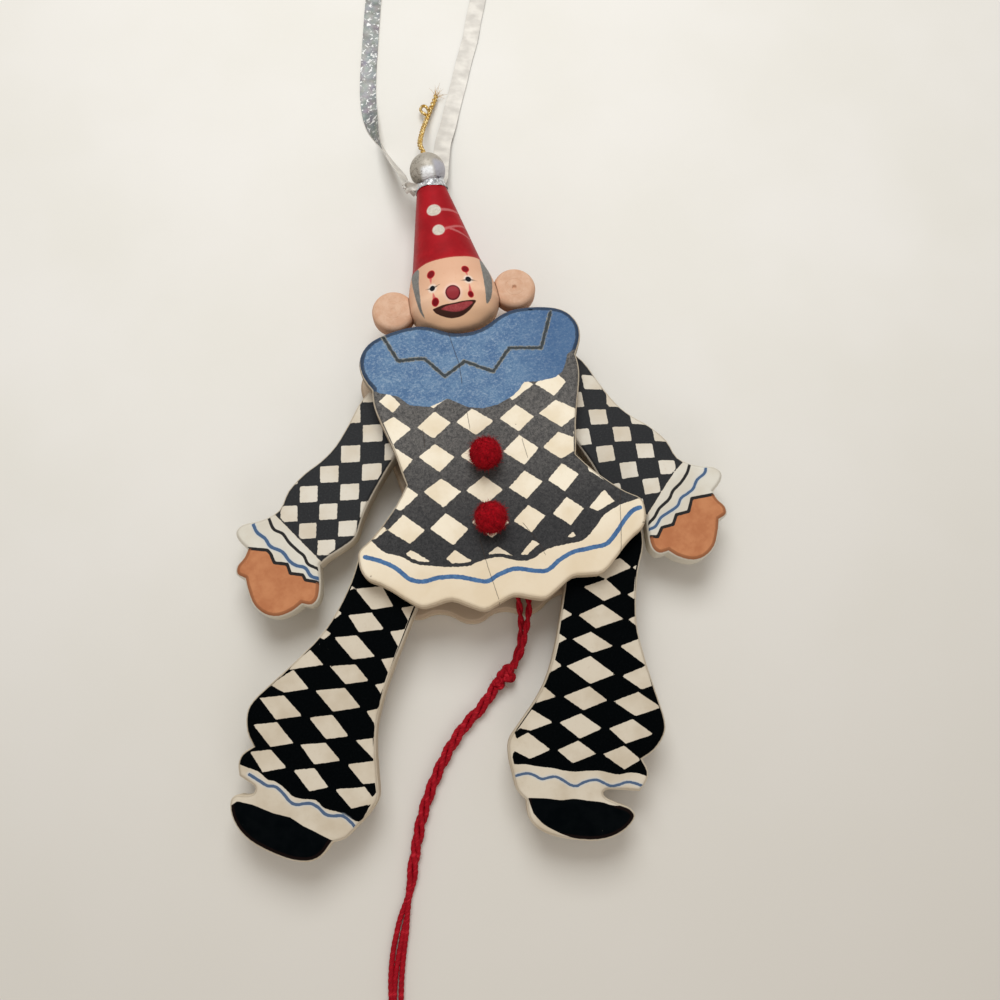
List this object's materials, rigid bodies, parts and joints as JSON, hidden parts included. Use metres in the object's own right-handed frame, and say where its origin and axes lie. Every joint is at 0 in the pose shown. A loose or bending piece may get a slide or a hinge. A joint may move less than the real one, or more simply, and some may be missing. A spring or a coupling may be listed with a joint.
{
  "type": "jumping jack",
  "caption": "Flat wooden clown jumping jack lying on its back; pulling the cord below its hem swings its arms and legs up together.",
  "frame": {"origin": "on the rest face of the back plate, on the body's middle line, at the height of the hips", "axes": "+X to the viewer's right, +Y towards the head, +Z out of the chest"},
  "size_m": [0.1267, 0.3046, 0.0243],
  "materials": {
    "painted_body": "cream paint under black, blue and cream patterns, lightly worn",
    "painted_head": "turned wood, skin tone face with a red painted hat, satin",
    "bare_ear": "turned wood, thin skin tone stain",
    "painted_arm": "cream paint under black squares, terracotta hands, lightly worn",
    "painted_leg": "cream paint under glossy black with cream diamonds",
    "dowel": "plain dowel",
    "bead": "metallised bead",
    "gold_thread": "twisted metallic cord",
    "ribbon": "metallised gift ribbon, speckled face and pale back",
    "pompom": "felted fibre",
    "red_cord": "loosely twisted cotton strands"
  },
  "bodies": {
    "torso": {"front_plate": "painted_body", "back_plate": "painted_body", "head": "painted_head", "ear_left": "bare_ear", "ear_right": "bare_ear", "ear_pegs": "dowel", "silver_bead": "bead", "gold_cord": "gold_thread", "ribbon_tie": "ribbon", "ribbon": "ribbon", "pompom_upper": "pompom", "pompom_lower": "pompom", "shoulder_pin_left": "dowel", "shoulder_pin_right": "dowel", "hip_pin_left": "dowel", "hip_pin_right": "dowel"},
    "left_arm": {"left_arm": "painted_arm"},
    "right_arm": {"right_arm": "painted_arm"},
    "left_leg": {"left_leg": "painted_leg"},
    "right_leg": {"right_leg": "painted_leg"},
    "pull": {"arm_string": "red_cord", "leg_string": "red_cord", "arm_pull_strand": "red_cord", "leg_pull_strand": "red_cord", "pull_knot": "red_cord", "pull_cord": "red_cord", "end_knot": "red_cord"}
  },
  "joints": [
    {"name": "right_leg_swing", "type": "hinge", "parent": "torso", "child": "right_leg", "pos_m": [0.0225, 0.0028, 0.0086], "axis": [0, 0, 1], "range_deg": [0, 100]},
    {"name": "left_leg_swing", "type": "hinge", "parent": "torso", "child": "left_leg", "pos_m": [-0.0225, 0.0028, 0.0086], "axis": [0, 0, -1], "range_deg": [0, 50]},
    {"name": "right_arm_swing", "type": "hinge", "parent": "torso", "child": "right_arm", "pos_m": [0.0217, 0.042, 0.0086], "axis": [0, 0, 1], "range_deg": [0, 92]},
    {"name": "left_arm_swing", "type": "hinge", "parent": "torso", "child": "left_arm", "pos_m": [-0.0208, 0.0406, 0.0086], "axis": [0, 0, -1], "range_deg": [0, 80]},
    {"name": "pull_slide", "type": "slide", "parent": "torso", "child": "pull", "axis": [0, -1, 0], "range_m": [0, 0.0131], "deforming": ["arm_string", "leg_string"]}
  ],
  "couplings": [
    {"joint": "left_leg_swing", "follows": "right_leg_swing", "ratio": 0.5},
    {"joint": "right_arm_swing", "follows": "right_leg_swing", "ratio": 0.92},
    {"joint": "left_arm_swing", "follows": "right_leg_swing", "ratio": 0.8},
    {"joint": "pull_slide", "follows": "right_leg_swing", "m_per_rad": 0.00745}
  ]
}
